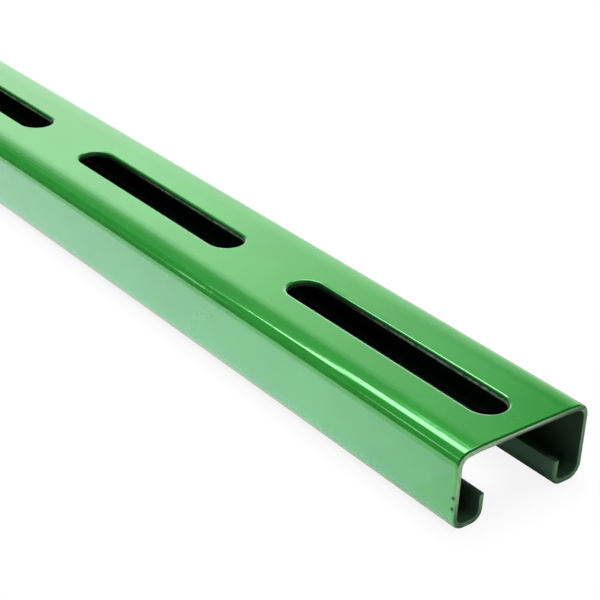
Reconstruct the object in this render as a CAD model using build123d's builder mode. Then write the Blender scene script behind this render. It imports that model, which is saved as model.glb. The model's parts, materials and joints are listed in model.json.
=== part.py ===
from build123d import *
import os

# Slotted strut channel: one length of shallow lipped channel, cold-rolled from steel strip.
# The length runs along X. The slotted web is on top and the lips turn up inside, so the channel
# lies on its two feet, with the mouth facing the floor. The origin is at the middle of the
# footprint, at floor level. All sizes are in millimetres.

# Rolled section
channel_width = 41.275      # outside of one flange to outside of the other
channel_depth = 20.64       # feet to the flat of the web
wall = 1.52                 # thickness of the strip
foot_width = 9.525          # outside of a flange to its lip; the two leave a 22.2 mm mouth
lip_height = 7.14           # feet to the lips' edges
shoulder_width = 5.6        # middle of a flange to where the web starts to fall away
shoulder_drop = 0.5         # how far the web has fallen where it meets the flange
shoulder_radius = 40.0      # the gentle run-in from the flat of the web, at the strip's middle
web_bend_radius = 2.2       # inside radius where the web turns down into a flange
foot_bend_radius = 2.4      # inside radius where a flange turns in to its foot
lip_bend_radius = 1.7       # inside radius where a foot turns up into its lip

# Length and the row of punched slots
channel_length = 609.6
slot_length = 76.2          # end to end, with full round ends
slot_width = 10.32
slot_pitch = 101.6          # centre to centre
first_slot_margin = 7.94    # front cut end to the nearest point of the first slot

# Softened edges
punch_roll_radius = 0.8     # where the punch drew the web's skin into a slot
cut_roll_radius = 0.6       # the outer edge of a cut end, where the shear drew the skin over
cut_edge_radius = 0.2       # the inner edge of a cut end, deburred and painted

overrun = 1.0               # how far a cut runs past the face it leaves by

# The strip's middle line, half a wall inside every outer size
flange_y = (channel_width - wall) / 2
lip_y = channel_width / 2 - foot_width + wall / 2
foot_z = wall / 2
web_z = channel_depth - wall / 2
shoulder_y = flange_y - shoulder_width
shoulder_z = web_z - shoulder_drop
bend_radii = [inside + wall / 2 for inside in (lip_bend_radius, foot_bend_radius, web_bend_radius)]

# The slots are counted from the front end, and the last leaves at least the same margin behind it
slot_run = channel_length - 2 * first_slot_margin - slot_length
slot_count = int(slot_run // slot_pitch) + 1
first_slot_x = channel_length / 2 - first_slot_margin - slot_length / 2
slot_row_x = first_slot_x - (slot_count - 1) * slot_pitch / 2

with BuildPart() as strut_channel:
    # One strip, rolled up on each side: lip, foot, flange, shoulder and half the web, then mirrored
    with BuildSketch(Plane.YZ):
        with BuildLine():
            FilletPolyline(
                (lip_y, lip_height),
                (lip_y, foot_z),
                (flange_y, foot_z),
                (flange_y, shoulder_z),
                (shoulder_y, web_z),
                (0, web_z),
                radius=[*bend_radii, shoulder_radius],
            )
            mirror(about=Plane.YZ)
        trace(line_width=wall)
    extrude(amount=channel_length / 2, both=True)

    # The two square-cut ends. Their outer and inner edges run smoothly from lip to lip, so a fillet
    # that is started on the straight edge of the web, outside or inside, follows all the rest.
    for web_line, radius in ((-1, cut_roll_radius), (-2, cut_edge_radius)):
        cut_ends = strut_channel.faces().filter_by(Axis.X).group_by(SortBy.AREA)[-1]
        fillet(cut_ends.edges().filter_by(Axis.Y).group_by(Axis.Z)[web_line], radius=radius)

    # The slots, punched through the web from outside
    with BuildSketch(Plane.XY.offset(channel_depth)):
        with Locations((slot_row_x, 0)):
            with GridLocations(slot_pitch, 0, slot_count, 1):
                SlotOverall(slot_length, slot_width)
    extrude(amount=-(wall + overrun), mode=Mode.SUBTRACT)

    web_face = strut_channel.faces().filter_by(Axis.Z).sort_by(Axis.Z)[-1]
    fillet(web_face.inner_wires().edges(), radius=punch_roll_radius)

strut_channel.part.label = "strut_channel"
os.makedirs("parts", exist_ok=True)
export_step(strut_channel.part, "parts/strut_channel.step")
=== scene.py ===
import json
import math

import bpy
from mathutils import Euler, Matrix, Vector


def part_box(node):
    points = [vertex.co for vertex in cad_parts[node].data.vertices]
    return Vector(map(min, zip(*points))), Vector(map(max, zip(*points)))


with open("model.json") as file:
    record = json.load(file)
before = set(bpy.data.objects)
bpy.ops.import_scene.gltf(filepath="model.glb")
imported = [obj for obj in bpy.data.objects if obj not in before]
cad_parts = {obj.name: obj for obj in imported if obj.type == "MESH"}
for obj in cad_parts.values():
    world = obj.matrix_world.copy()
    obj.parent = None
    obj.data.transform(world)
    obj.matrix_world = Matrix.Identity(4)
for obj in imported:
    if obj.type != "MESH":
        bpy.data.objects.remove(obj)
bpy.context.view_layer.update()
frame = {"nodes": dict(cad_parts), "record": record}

# The strut channel as photographed: one length of glossy green enamelled channel on a white studio
# sweep, seen from above its front end. Everything is in metres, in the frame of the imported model.
# Left, right, near and far are as the camera sees them.

channel = frame["nodes"]["strut_channel"]
low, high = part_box("strut_channel")
front_x, half_width, depth = high.x, high.y, high.z
channel_length = high.x - low.x

# The row of slots, from the record's bolt patterns
mounts = {mount["name"]: mount for mount in frame["record"]["mounts"]}
slot_row = mounts["web_slots_front"]
slot_pitch = slot_row["dims"]["spacing_x_mm"] / 1000
slot_radius = slot_row["dims"]["hole_r_mm"] / 1000
slot_straight = slot_row["dims"]["slot_length_mm"] / 1000 - 2 * slot_radius
slot_x = slot_row["pos_m"][0] + slot_pitch / 2

# The camera's place from the middle of the front end, at floor level, and its turn in degrees
camera_offset = Vector((0.20266, -0.23413, 0.20895))
camera_turn = (62.382, -2.669, 51.919)
camera_lens = 96.64
camera_sensor = 36.0
camera_clip = (0.01, 100.0)

# Colours of the enamel, of its cut ends, chips and broken places, and of the shade and highlights painted on
# it
green = (0.053, 0.55, 0.073, 1.0)
green_deep = (0.049, 0.515, 0.067, 1.0)
# Painted shade inside the channel, with less of it on the lips' inner faces, where light comes in at the
# mouth
inside_shade = (0.055, 0.12, 0.07, 1.0)
lip_light = (0.13, 0.28, 0.165, 1.0)
# A painted highlight along the slots' near edges, and painted shade on their walls
rim_highlight = (0.36, 0.74, 0.42, 1.0)
slot_wall_shade = (0.012, 0.07, 0.02, 1.0)
broken_dark = (0.08, 0.24, 0.11, 1.0)
broken_pale = (0.44, 0.66, 0.45, 1.0)
# Painted shade on the web's edge at a cut end
edge_shade = (0.018, 0.19, 0.025, 1.0)
cut_near = (0.48, 0.68, 0.42, 1.0)
cut_far = (0.17, 0.34, 0.16, 1.0)
cut_low = (0.10, 0.20, 0.105, 1.0)
cut_shade = (0.045, 0.11, 0.06, 1.0)
chip_dark = (0.004, 0.06, 0.012, 1.0)

# Where the paint changes: each pair is where a soft change starts and where it is full. A depth is from the
# top of the web down, a height from the floor up, a side is along Y, and a reach is from the edge named.
corner_radius = 0.0035                  # outer corners of the section
inside_shade_depth = (0.0005, 0.0008)           # painted shade with a dull finish inside, from the section's outer outline
lip_inset = (0.00884, 0.00934)          # the lips' inner faces, from a flange's outside
lip_height = (0.0085, 0.0075)
rim_reach = (0.0011, 0.0008)            # painted highlight along a slot's near edge
rim_depth = (0.00114, 0.00084)
rim_side = (-0.002, -0.0045)
rim_back = (0.16, 0.09)                 # from the front end
wall_reach = (0.0004, 0.0002)           # the wall of a slot, with painted shade
wall_depth = (0.00264, 0.00214)
broken_top = (0.00064, 0.00084)         # the band in it where the punch broke the steel
broken_foot = (0.00154, 0.00124)
broken_along = (-0.026, 0.0)            # from the middle of the slot
edge_reach = (0.0007, 0.0004)           # the web's edge at a cut end, with painted shade
edge_depth = (0.00414, 0.00244)
cut_reach = (0.00009, 0.00003)          # the face of a cut end
cut_side = (0.005, 0.012)
cut_height = (0.003, 0.011)
shade_top = (0.00054, 0.00124)          # the inner half of the web's cut face
shade_foot = (0.00184, 0.00154)
shade_side = (-0.014, -0.002)

# Two chips in the enamel, on the near flange's front edge
chip_heights = (0.0092, 0.0064)
chip_gap = 0.0005                       # from the cut end
chip_radius = 0.0006
chip_core = 0.6                         # share of the radius that is bare all over

# The enamel's unevenness: mottle in its colour, patches in the thin paint, and orange peel
mottle_scale, mottle_detail, mottle_range = 45.0, 3.0, (0.35, 0.65)
patch_scale, patch_detail, patch_range = 900.0, 2.0, (0.3, 0.7)
patch_share = 0.35                      # how much of a cut end the patches green
peel_scale, peel_detail = 420.0, 1.0
peel_strength, peel_height = 0.5, 0.00002

# The enamel's gloss
gloss_roughness, dull_roughness = 0.12, 0.60
cut_dullness = 0.5                      # of a cut end, from gloss to dull
metal_share = 0.46
enamel_ior = 1.6
coat_roughness = 0.035
coat_ior = 1.8

# The sweep: a round floor, and a wall that rises from it round the back of the object
floor_radius = 14.0
sweep_radius = 5.0
sweep_cove = 1.0
sweep_height = 6.5
sweep_headings = (-30, 205)
sweep_lift = 0.001                      # of the cove's foot over the floor
round_steps, cove_steps = 96, 12
sweep_paint = (0.9, 0.9, 0.9, 1.0)
plain_white = (1.0, 1.0, 1.0, 1.0)
floor_glow = 0.88                       # share of the floor's white that isn't dimmed by shadow
shadow_fade = (0.5, 1.6)                # where the floor turns all white

# What the channel mirrors of the wall, in degrees round and up from the middle of its shown part: full light
# on the left that fades to the right and falls off upwards, sooner further left. Towards the wall's foot, a
# share of the light comes back on the right.
shown_middle = front_x - 0.1
heading_limits = (126.0, 165.0)
side_light = (127.0, 147.0)
top_heading, top_slope = 140.0, 0.46
top_light = (35.8, 27.9)
top_rest = 0.09
foot_light = (27.0, 19.5)
foot_share = 0.68

# What it mirrors of the floor, by the gap from its sides: contact shadow, then light that falls off in
# front and a soft shadow behind, both dimmer at the front end
near_contact, far_contact = 0.003, 0.04
near_front, near_run = 0.78, 0.07
near_falls = ((0.24, 0.006, 0.045), (0.33, 0.045, 0.45))    # how much, from which gap, to which gap
far_front, far_run = 0.12, 0.33

# Turns of the lamps, in degrees from level and face down, and the key lamps' white
level = (0, 0, 0)
face_up = (180, 0, 0)
strip_turn = (0, 0, 60)
far_turn = (0, 0, 51)
key_white = (0.98, 0.92, 1.08)
lamp_height = 1.2                       # of the key lamps and the strips, over the web

# The cool card on the floor along the near side, and a wider one just over it that starts behind the front
# end and grows as far back as its run
card_steps = 6
card_gap = 0.001
card_width = 0.024
card_light = 1.05
card_cool = (0.42, 0.22, 1.0)
tail_width = 0.03
tail_run = 0.19
tail_light = 1.05
tail_cool = (0.42, 0.06, 1.0)

world_grey = (0.035, 0.035, 0.035, 1.0)


class Nodes:
    """A material's node tree, with short calls for the nodes that the materials here share."""

    def __init__(self, name):
        self.material = bpy.data.materials.new(name)
        self.material.use_nodes = True
        self.tree = self.material.node_tree
        self.tree.nodes.clear()
        self.output = self.add("ShaderNodeOutputMaterial")

    def add(self, kind, **settings):
        node = self.tree.nodes.new(kind)
        for key, value in settings.items():
            setattr(node, key, value)
        return node

    def put(self, socket, value):
        """Links a socket, or sets a plain value on it."""
        if isinstance(value, bpy.types.NodeSocket):
            self.tree.links.new(value, socket)
        else:
            socket.default_value = value

    def place(self):
        """The place on the object, as a vector and as its x, y and z."""
        vector = self.add("ShaderNodeTexCoord").outputs["Object"]
        axes = self.add("ShaderNodeSeparateXYZ")
        self.put(axes.inputs[0], vector)
        return vector, *axes.outputs

    def math(self, operation, *values):
        node = self.add("ShaderNodeMath", operation=operation)
        for socket, value in zip(node.inputs, values):
            self.put(socket, value)
        return node.outputs[0]

    def all_of(self, first, *others):
        """The product of masks: 1 only where all of them are."""
        for other in others:
            first = self.math("MULTIPLY", first, other)
        return first

    def any_of(self, first, *others):
        """The largest of masks: 1 where any of them is."""
        for other in others:
            first = self.math("MAXIMUM", first, other)
        return first

    def rest(self, mask):
        """1 where the mask is 0, and 0 where it is 1."""
        return self.math("SUBTRACT", 1.0, mask)

    def length(self, a, b):
        """The length of a vector that has a and b as its two parts."""
        squares = self.math("ADD", self.math("MULTIPLY", a, a), self.math("MULTIPLY", b, b))
        return self.math("SQRT", squares)

    def ramp(self, value, start, end, kind="SMOOTHSTEP"):
        """0 at start, 1 at end, and the same past them. Start may be the larger one."""
        node = self.add("ShaderNodeMapRange", interpolation_type=kind)
        self.put(node.inputs["Value"], value)
        node.inputs["From Min"].default_value = start
        node.inputs["From Max"].default_value = end
        return node.outputs["Result"]

    def between(self, low_value, high_value, share):
        """The low value where share is 0, the high one where it is 1."""
        return self.math("ADD", low_value, self.math("MULTIPLY", share, high_value - low_value))

    def noise(self, vector, scale, detail):
        node = self.add("ShaderNodeTexNoise")
        self.put(node.inputs["Vector"], vector)
        node.inputs["Scale"].default_value = scale
        node.inputs["Detail"].default_value = detail
        return node.outputs["Fac"]

    def mix(self, factor, a, b):
        """Colour a where factor is 0, b where it is 1."""
        node = self.add("ShaderNodeMix", data_type="RGBA")
        sockets = {socket.identifier: socket for socket in [*node.inputs, *node.outputs]}
        self.put(sockets["Factor_Float"], factor)
        self.put(sockets["A_Color"], a)
        self.put(sockets["B_Color"], b)
        return sockets["Result_Color"]


def slot_along(nodes, x):
    """Distance along the length from the middle of the nearest slot."""
    return nodes.math("WRAP", nodes.math("SUBTRACT", x, slot_x), slot_pitch / 2, -slot_pitch / 2)


def slot_distance(nodes, along, y):
    """Distance from the nearest slot's edge, seen from above: below 0 inside the slot."""
    past = nodes.math("SUBTRACT", nodes.math("ABSOLUTE", along), slot_straight / 2)
    past = nodes.math("MAXIMUM", past, 0.0)
    return nodes.math("SUBTRACT", nodes.length(past, y), slot_radius)


def skin_depth(nodes, y, z):
    """How far a point lies inside the section's outer outline, taken as a box with rounded corners."""
    from_side = nodes.math("SUBTRACT", nodes.math("ABSOLUTE", y), half_width - corner_radius)
    from_middle = nodes.math("ABSOLUTE", nodes.math("SUBTRACT", z, depth / 2))
    from_top = nodes.math("SUBTRACT", from_middle, depth / 2 - corner_radius)
    outside = nodes.length(nodes.math("MAXIMUM", from_side, 0.0), nodes.math("MAXIMUM", from_top, 0.0))
    inside = nodes.math("MINIMUM", nodes.math("MAXIMUM", from_side, from_top), 0.0)
    return nodes.math("SUBTRACT", corner_radius, nodes.math("ADD", outside, inside))


def chip_mask(nodes, vector):
    """1 on the chips in the enamel, 0 elsewhere."""
    chips = []
    for height in chip_heights:
        gap = nodes.add("ShaderNodeVectorMath", operation="DISTANCE")
        nodes.put(gap.inputs[0], vector)
        gap.inputs[1].default_value = (front_x - chip_gap, -half_width, height)
        chips.append(nodes.ramp(gap.outputs["Value"], chip_radius, chip_radius * chip_core))
    return nodes.any_of(*chips)


def paint_inside(nodes, colour, y, z):
    """Painted shade with a dull finish inside the channel, less dark on the lips' inner faces, where light
    comes in at the mouth. Gives the new colour and the mask of the shaded dull inside.
    """
    shaded_dull_inside = nodes.ramp(skin_depth(nodes, y, z), *inside_shade_depth)
    inset = nodes.math("SUBTRACT", half_width, nodes.math("ABSOLUTE", y))
    lips = nodes.all_of(nodes.ramp(inset, *lip_inset), nodes.ramp(z, *lip_height))
    # Painted shade inside, lighter on the lips
    return nodes.mix(shaded_dull_inside, colour, nodes.mix(lips, inside_shade, lip_light)), shaded_dull_inside


def paint_slots(nodes, colour, patches, x, y, down):
    """A painted highlight along the near edge of the front slots, painted shade on the walls, and in them a
    band where the punch broke the steel, which fades towards the rear of each slot. Gives the new colour and
    the walls' mask."""
    along = slot_along(nodes, x)
    gap = nodes.math("ABSOLUTE", slot_distance(nodes, along, y))
    back = nodes.math("SUBTRACT", front_x, x)
    rim = nodes.all_of(
        nodes.ramp(gap, *rim_reach),
        nodes.ramp(down, *rim_depth),
        nodes.ramp(y, *rim_side),
        nodes.ramp(back, *rim_back),
    )
    # Painted highlight along the near edge
    colour = nodes.mix(rim, colour, rim_highlight)
    walls = nodes.all_of(nodes.ramp(gap, *wall_reach), nodes.ramp(down, *wall_depth))
    # Painted shade on the walls
    colour = nodes.mix(walls, colour, slot_wall_shade)
    broken = nodes.all_of(
        walls,
        nodes.ramp(down, *broken_top),
        nodes.ramp(down, *broken_foot),
        nodes.ramp(along, *broken_along),
    )
    return nodes.mix(broken, colour, nodes.mix(patches, broken_dark, broken_pale)), walls


def paint_ends(nodes, colour, patches, x, y, z, down):
    """The cut ends: painted shade on the web's edge, which the shear drew over, and the face, which is paler
    towards the top and the near side, with painted shade over the inner half of the web's cut face. Gives the
    new colour and the faces' mask."""
    gap = nodes.math("SUBTRACT", front_x, nodes.math("ABSOLUTE", x))
    edge = nodes.all_of(nodes.ramp(gap, *edge_reach), nodes.ramp(down, *edge_depth))
    # Painted shade on the web's edge
    colour = nodes.mix(edge, colour, edge_shade)
    face = nodes.mix(nodes.ramp(y, *cut_side), cut_near, cut_far)
    face = nodes.mix(nodes.ramp(z, *cut_height), cut_low, face)
    face = nodes.mix(nodes.math("MULTIPLY", patches, patch_share), face, green_deep)
    shade = nodes.all_of(
        nodes.ramp(down, *shade_top),
        nodes.ramp(down, *shade_foot),
        nodes.ramp(y, *shade_side),
    )
    face = nodes.mix(shade, face, cut_shade)
    cut = nodes.ramp(gap, *cut_reach)
    return nodes.mix(cut, colour, face), cut


def orange_peel(nodes, vector):
    peel = nodes.add("ShaderNodeBump")
    nodes.put(peel.inputs["Height"], nodes.noise(vector, peel_scale, peel_detail))
    peel.inputs["Strength"].default_value = peel_strength
    peel.inputs["Distance"].default_value = peel_height
    return peel.outputs["Normal"]


def make_enamel():
    """Glossy green enamel under a clear coat, with its cut ends, chips and broken places, where it is dull,
    and the shade and highlights painted on it.
    """
    nodes = Nodes("green_enamel")
    vector, x, y, z = nodes.place()
    down = nodes.math("SUBTRACT", depth, z)
    mottle = nodes.ramp(nodes.noise(vector, mottle_scale, mottle_detail), *mottle_range)
    patches = nodes.ramp(nodes.noise(vector, patch_scale, patch_detail), *patch_range)
    colour = nodes.mix(mottle, green, green_deep)
    colour, shaded_dull_inside = paint_inside(nodes, colour, y, z)
    colour, walls = paint_slots(nodes, colour, patches, x, y, down)
    colour, cut = paint_ends(nodes, colour, patches, x, y, z, down)
    chips = chip_mask(nodes, vector)
    shaded_dull_inside = nodes.all_of(shaded_dull_inside, nodes.rest(cut))
    bare = nodes.any_of(cut, chips, walls)
    dull = nodes.any_of(shaded_dull_inside, chips, walls)
    rough = nodes.any_of(shaded_dull_inside, nodes.math("MULTIPLY", cut, cut_dullness))

    shader = nodes.add("ShaderNodeBsdfPrincipled")
    nodes.put(shader.inputs["Base Color"], nodes.mix(chips, colour, chip_dark))
    nodes.put(shader.inputs["Roughness"], nodes.between(gloss_roughness, dull_roughness, rough))
    nodes.put(shader.inputs["Metallic"], nodes.between(metal_share, 0.0, bare))
    shader.inputs["IOR"].default_value = enamel_ior
    # The socket's plain value is 1 as well, under the link
    shader.inputs["Coat Weight"].default_value = 1.0
    nodes.put(shader.inputs["Coat Weight"], nodes.rest(dull))
    shader.inputs["Coat Roughness"].default_value = coat_roughness
    shader.inputs["Coat IOR"].default_value = coat_ior
    peel = orange_peel(nodes, vector)
    nodes.put(shader.inputs["Normal"], peel)
    nodes.put(shader.inputs["Coat Normal"], peel)
    nodes.put(nodes.output.inputs["Surface"], shader.outputs["BSDF"])
    return nodes.material


def make_white(name, mirrored_light, white_share=None):
    """Studio white, whatever light falls there, to the camera and by way of gloss or glass. What gloss and
    glass show is dimmed by the mirrored light. With a white share, the rest of it is paint that shows light
    and shadow. All other light meets paint."""
    nodes = Nodes(name)
    vector, x, y, z = nodes.place()
    path = nodes.add("ShaderNodeLightPath")
    seen = path.outputs["Is Camera Ray"]
    bounced = nodes.math("ADD", path.outputs["Is Glossy Ray"], path.outputs["Is Transmission Ray"])
    shown = nodes.math("MINIMUM", nodes.math("ADD", seen, bounced), 1.0)
    if white_share:
        shown = nodes.math("MULTIPLY", shown, white_share(nodes, vector))
    paint = nodes.add("ShaderNodeBsdfDiffuse")
    paint.inputs["Color"].default_value = sweep_paint
    white = nodes.add("ShaderNodeEmission")
    white.inputs["Color"].default_value = plain_white
    nodes.put(white.inputs["Strength"], nodes.math("MAXIMUM", seen, mirrored_light(nodes, x, y, z)))
    blend = nodes.add("ShaderNodeMixShader")
    nodes.put(blend.inputs[0], shown)
    nodes.put(blend.inputs[1], paint.outputs[0])
    nodes.put(blend.inputs[2], white.outputs[0])
    nodes.put(nodes.output.inputs["Surface"], blend.outputs[0])
    return nodes.material


def floor_share(nodes, vector):
    """All white far off; near the object a little of its shadow shows."""
    away = nodes.add("ShaderNodeVectorMath", operation="LENGTH")
    nodes.put(away.inputs[0], vector)
    return nodes.between(floor_glow, 1.0, nodes.ramp(away.outputs["Value"], *shadow_fade))


def floor_mirrored(nodes, x, y, _):
    """The floor as the channel mirrors it."""
    back = nodes.math("SUBTRACT", front_x, x)
    near_gap = nodes.math("SUBTRACT", nodes.math("MULTIPLY", y, -1.0), half_width)
    near = nodes.between(near_front, 1.0, nodes.ramp(back, 0.0, near_run))
    for fall, start, end in near_falls:
        fallen = nodes.math("MULTIPLY", nodes.ramp(near_gap, start, end), fall)
        near = nodes.math("SUBTRACT", near, fallen)
    near = nodes.math("MULTIPLY", near, nodes.ramp(near_gap, -near_contact, 0.0))
    past_end = nodes.math("SUBTRACT", nodes.math("ABSOLUTE", x), front_x)
    far_gap = nodes.math("MAXIMUM", past_end, nodes.math("SUBTRACT", y, half_width))
    far = nodes.between(far_front, 1.0, nodes.ramp(back, 0.0, far_run, "LINEAR"))
    far = nodes.math("MULTIPLY", far, nodes.ramp(far_gap, 0.0, far_contact))
    return nodes.math("MAXIMUM", near, far)


def wall_mirrored(nodes, x, y, z):
    """The wall as the channel mirrors it."""
    x = nodes.math("SUBTRACT", x, shown_middle)
    up = nodes.math("DEGREES", nodes.math("ARCTAN2", z, nodes.length(x, y)))
    heading = nodes.math("DEGREES", nodes.math("ARCTAN2", y, x))
    heading = nodes.math("MAXIMUM", heading, heading_limits[0])
    heading = nodes.math("MINIMUM", heading, heading_limits[1])
    lean = nodes.math("MULTIPLY", nodes.math("SUBTRACT", heading, top_heading), top_slope)
    top = nodes.between(top_rest, 1.0, nodes.ramp(nodes.math("ADD", up, lean), *top_light))
    side = nodes.ramp(heading, *side_light, "LINEAR")
    foot = nodes.math("MULTIPLY", nodes.ramp(up, *foot_light, "LINEAR"), foot_share)
    shade = nodes.all_of(nodes.rest(side), nodes.rest(foot))
    return nodes.math("MULTIPLY", top, nodes.rest(shade))


def add_mesh(name, points, faces, material):
    """A piece of the stage, shaded smooth."""
    mesh = bpy.data.meshes.new(name)
    mesh.from_pydata(points, [], faces)
    mesh.polygons.foreach_set("use_smooth", [True] * len(mesh.polygons))
    mesh.materials.append(material)
    thing = bpy.data.objects.new(name, mesh)
    bpy.context.scene.collection.objects.link(thing)


def make_floor():
    """One flat disc."""
    angles = [2 * math.pi * step / round_steps for step in range(round_steps)]
    rim = [(floor_radius * math.cos(angle), floor_radius * math.sin(angle), 0.0) for angle in angles]
    white = make_white("floor_white", floor_mirrored, floor_share)
    add_mesh("floor", rim, [tuple(range(round_steps))], white)


def make_wall():
    """The cove and the wall, turned round the object's middle."""
    profile = []
    for step in range(cove_steps + 1):
        angle = math.pi / 2 * step / cove_steps
        out = sweep_radius - sweep_cove + sweep_cove * math.sin(angle)
        profile.append((out, sweep_cove - sweep_cove * math.cos(angle) + sweep_lift))
    profile.append((sweep_radius, sweep_height))
    row = len(profile)
    start, end = (math.radians(heading) for heading in sweep_headings)
    points, faces = [], []
    for step in range(round_steps + 1):
        angle = start + (end - start) * step / round_steps
        points += [(out * math.cos(angle), out * math.sin(angle), up) for out, up in profile]
    for step in range(round_steps):
        for corner in range(step * row, step * row + row - 1):
            faces.append((corner, corner + 1, corner + row + 1, corner + row))
    add_mesh("wall", points, faces, make_white("wall_white", wall_mirrored))


def turned(angles):
    """A turn from its three angles in degrees."""
    return Euler([math.radians(angle) for angle in angles])


def add_softbox(name, offset, size, radiance, turn=None, colour=(1.0, 1.0, 1.0)):
    """A rectangular lamp, placed from the middle of the front end's top. It faces that place, or it has the
    turn given. The camera doesn't see it."""
    data = bpy.data.lights.new(name, "AREA")
    data.shape = "RECTANGLE"
    data.size, data.size_y = size
    data.energy = radiance * math.pi * size[0] * size[1]
    data.color = colour
    lamp = bpy.data.objects.new(name, data)
    lamp.location = Vector((front_x, 0.0, depth)) + Vector(offset)
    if turn is None:
        lamp.rotation_euler = Vector(offset).to_track_quat("Z", "Y").to_euler()
    else:
        lamp.rotation_euler = turned(turn)
    lamp.visible_camera = False
    bpy.context.scene.collection.objects.link(lamp)
    return lamp


def make_key():
    """The key light, in four parts that the near shoulder mirrors as one highlight."""
    add_softbox("key_softbox", offset=(-0.84, 0.285, lamp_height), size=(0.62, 0.53), radiance=2.8,
                turn=level, colour=key_white)
    add_softbox("key_upper", offset=(-0.855, 0.745, lamp_height), size=(0.67, 0.39), radiance=2.8,
                turn=level, colour=key_white)
    add_softbox("key_corner", offset=(-1.14, -0.085, lamp_height), size=(0.13, 0.21), radiance=3.8,
                turn=level, colour=key_white)
    add_softbox("key_tail", offset=(-1.236, -0.108, lamp_height), size=(0.14, 0.045), radiance=4.0,
                turn=strip_turn, colour=key_white)


def make_strips():
    """Narrow lamps for the thin lines of light."""
    add_softbox("edge_strip", offset=(-1.33, -0.26, lamp_height), size=(0.32, 0.04), radiance=1.1,
                turn=strip_turn)
    add_softbox("far_strip", offset=(-2.15, -1.52, lamp_height), size=(0.95, 0.07), radiance=1.4,
                turn=far_turn)
    add_softbox("small_strip", offset=(-1.45, -1.5, lamp_height), size=(0.12, 0.35), radiance=2.2,
                turn=level)


def make_fill():
    """A lamp overhead that stays out of reflections, and a weak one in front."""
    top = add_softbox("top_softbox", offset=(-0.1, 0.0, 1.6), size=(1.1, 1.1), radiance=8.0, turn=level)
    top.visible_glossy = False
    add_softbox("front_softbox", offset=(0.51, -1.41, 0.55), size=(0.9, 0.6), radiance=0.42)


def make_cards():
    """The two cool cards, each in steps that lie over each other: the first fades away from the channel."""
    side = -half_width - card_gap
    for step in range(card_steps):
        width = card_width * (step + 1) / card_steps
        offset = (-channel_length / 2, side - width / 2, card_gap - depth)
        size = (channel_length + card_width, width)
        add_softbox(f"floor_card_{step}", offset, size, card_light / card_steps, face_up, card_cool)
    for step in range(card_steps):
        start = tail_run * (step + 0.5) / card_steps
        length = channel_length - start
        offset = (-start - length / 2, side - tail_width / 2, 2 * card_gap - depth)
        size = (length, tail_width)
        add_softbox(f"floor_tail_{step}", offset, size, tail_light / card_steps, face_up, tail_cool)


def make_world():
    world = bpy.data.worlds.new("studio")
    world.use_nodes = True
    world.node_tree.nodes["Background"].inputs["Color"].default_value = world_grey
    bpy.context.scene.world = world


def make_camera():
    data = bpy.data.cameras.new("camera")
    data.lens, data.sensor_width = camera_lens, camera_sensor
    data.clip_start, data.clip_end = camera_clip
    camera = bpy.data.objects.new("camera", data)
    camera.location = Vector((front_x, 0.0, 0.0)) + camera_offset
    camera.rotation_euler = turned(camera_turn)
    bpy.context.scene.collection.objects.link(camera)
    bpy.context.scene.camera = camera


channel.material_slots[0].material = make_enamel()
make_floor()
make_wall()
make_key()
make_strips()
make_fill()
make_cards()
make_world()
make_camera()
bpy.context.scene.view_settings.view_transform = "Standard"
